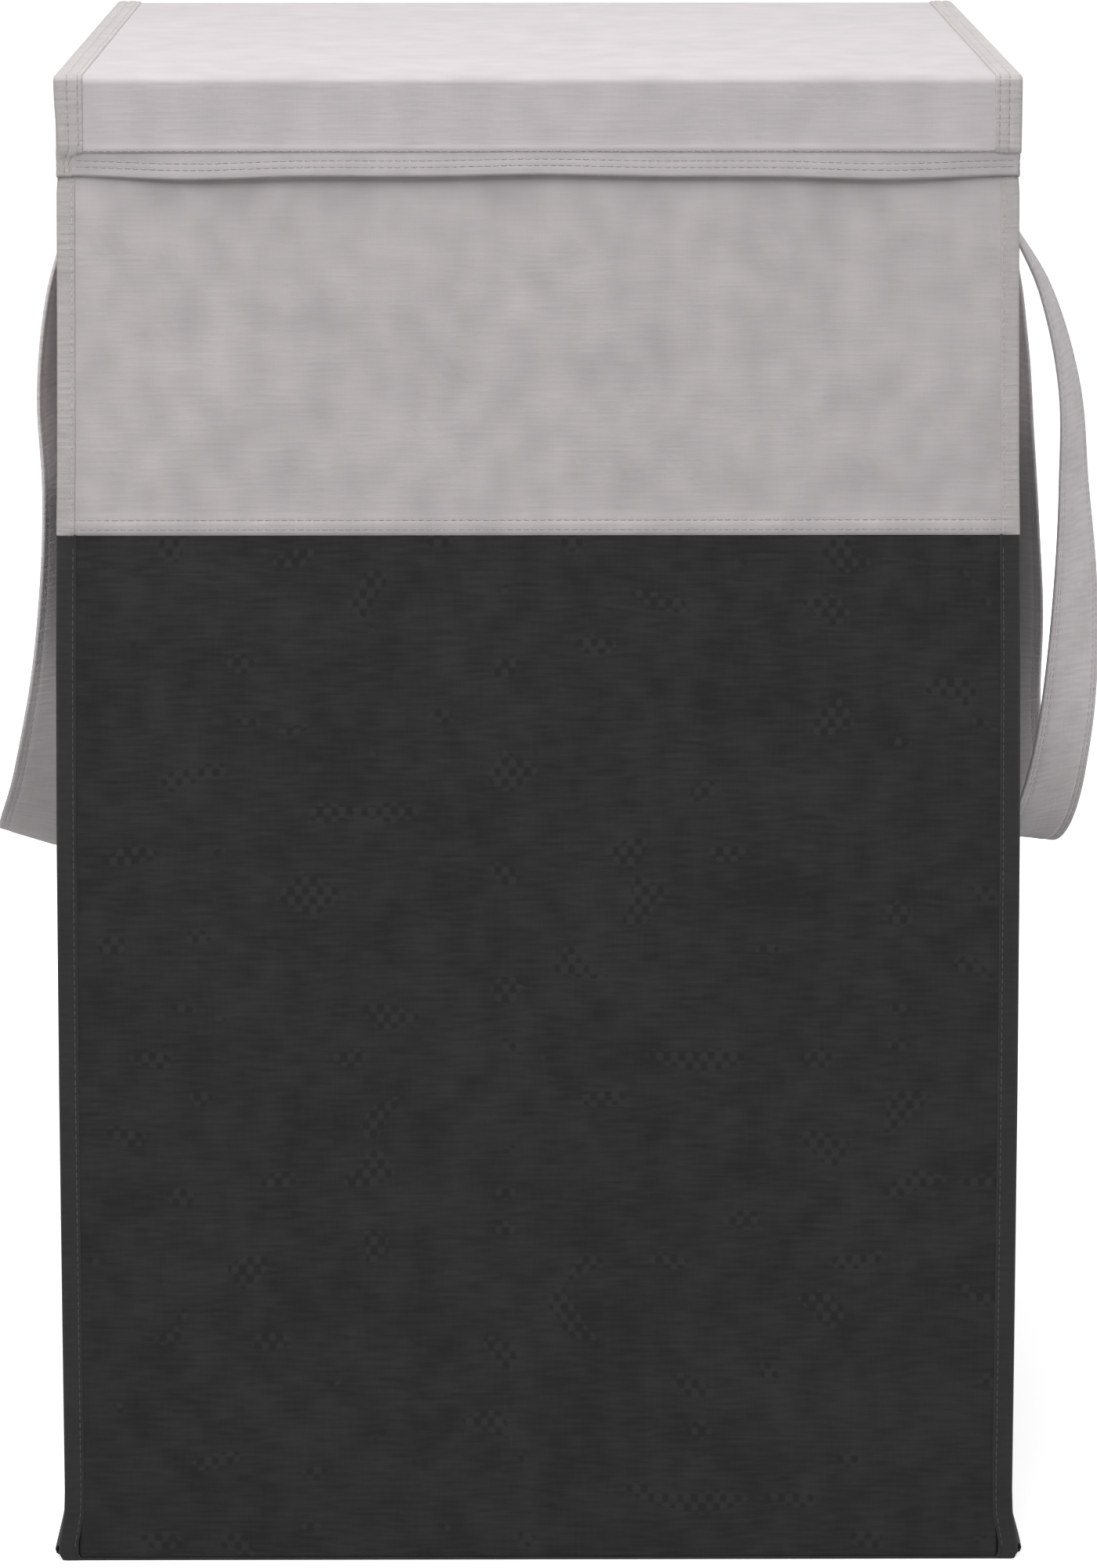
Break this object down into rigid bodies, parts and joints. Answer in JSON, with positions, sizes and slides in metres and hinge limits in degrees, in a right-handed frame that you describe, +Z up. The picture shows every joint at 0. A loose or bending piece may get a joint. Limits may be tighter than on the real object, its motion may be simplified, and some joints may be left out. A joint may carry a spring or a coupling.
{
  "type": "laundry hamper",
  "caption": "Tall fabric laundry hamper stiffened with boards, with a hinged lid, strap handles and a divider that parts the inside into bins.",
  "frame": {"origin": "centre of the underside, on the floor", "axes": "+Z up, front facing -Y, +X to the right as seen from the front"},
  "size_m": [0.4937, 0.3832, 0.647],
  "materials": {
    "pale_fabric": "matte slub fabric",
    "lid_fabric": "matte slub fabric",
    "black_fabric": "matte slub fabric",
    "pale_tape": "matte woven tape",
    "black_tape": "matte woven tape",
    "strap": "matte doubled fabric strap",
    "board": "plain grey board",
    "lining": "thin non-woven lining",
    "bag_cloth": "thin plain weave"
  },
  "bodies": {
    "shell": {"base_cover": "black_fabric", "front_lower_cover": "black_fabric", "back_lower_cover": "black_fabric", "left_lower_cover": "black_fabric", "right_lower_cover": "black_fabric", "front_upper_cover": "pale_fabric", "back_upper_cover": "pale_fabric", "left_upper_cover": "pale_fabric", "right_upper_cover": "pale_fabric", "front_board": "board", "back_board": "board", "left_front_board": "board", "left_back_board": "board", "right_front_board": "board", "right_back_board": "board", "front_lining": "lining", "back_lining": "lining", "left_lining": "lining", "right_lining": "lining", "front_left_lower_corner_binding": "black_tape", "front_right_lower_corner_binding": "black_tape", "back_left_lower_corner_binding": "black_tape", "back_right_lower_corner_binding": "black_tape", "front_left_upper_corner_binding": "pale_tape", "front_right_upper_corner_binding": "pale_tape", "back_left_upper_corner_binding": "pale_tape", "back_right_upper_corner_binding": "pale_tape", "front_top_binding": "pale_tape", "back_top_binding": "pale_tape", "left_top_binding": "pale_tape", "right_top_binding": "pale_tape", "left_bottom_seam": "black_tape", "right_bottom_seam": "black_tape", "left_front_strap_tab": "strap", "left_back_strap_tab": "strap", "right_front_strap_tab": "strap", "right_back_strap_tab": "strap", "lid_hinge_strip": "pale_fabric", "base_board": "board", "divider_board": "board", "divider_sleeve": "lining", "left_bag": "bag_cloth", "right_bag": "bag_cloth", "left_bag_mouth_tape": "pale_tape", "right_bag_mouth_tape": "pale_tape", "left_bag_front_pull_tab": "strap", "left_bag_back_pull_tab": "strap", "right_bag_front_pull_tab": "strap", "right_bag_back_pull_tab": "strap"},
    "lid": {"lid_lining": "lining", "lid_board": "board", "lid_top_cover": "lid_fabric", "lid_front_rim": "pale_fabric", "lid_left_rim": "pale_fabric", "lid_right_rim": "pale_fabric", "lid_left_edge_binding": "pale_tape", "lid_right_edge_binding": "pale_tape"},
    "left_handle": {"left_strap": "strap"},
    "right_handle": {"right_strap": "strap"}
  },
  "joints": [
    {"name": "lid_hinge", "type": "hinge", "parent": "shell", "child": "lid", "pos_m": [0, 0.1914, 0.647], "axis": [-1, 0, 0], "range_deg": [0, 250]},
    {"name": "left_handle_swing", "type": "hinge", "parent": "shell", "child": "left_handle", "pos_m": [-0.2027, 0, 0.5862], "axis": [0, 1, 0], "range_deg": [0, 150]},
    {"name": "right_handle_swing", "type": "hinge", "parent": "shell", "child": "right_handle", "pos_m": [0.2027, 0, 0.5862], "axis": [0, -1, 0], "range_deg": [0, 150]}
  ]
}
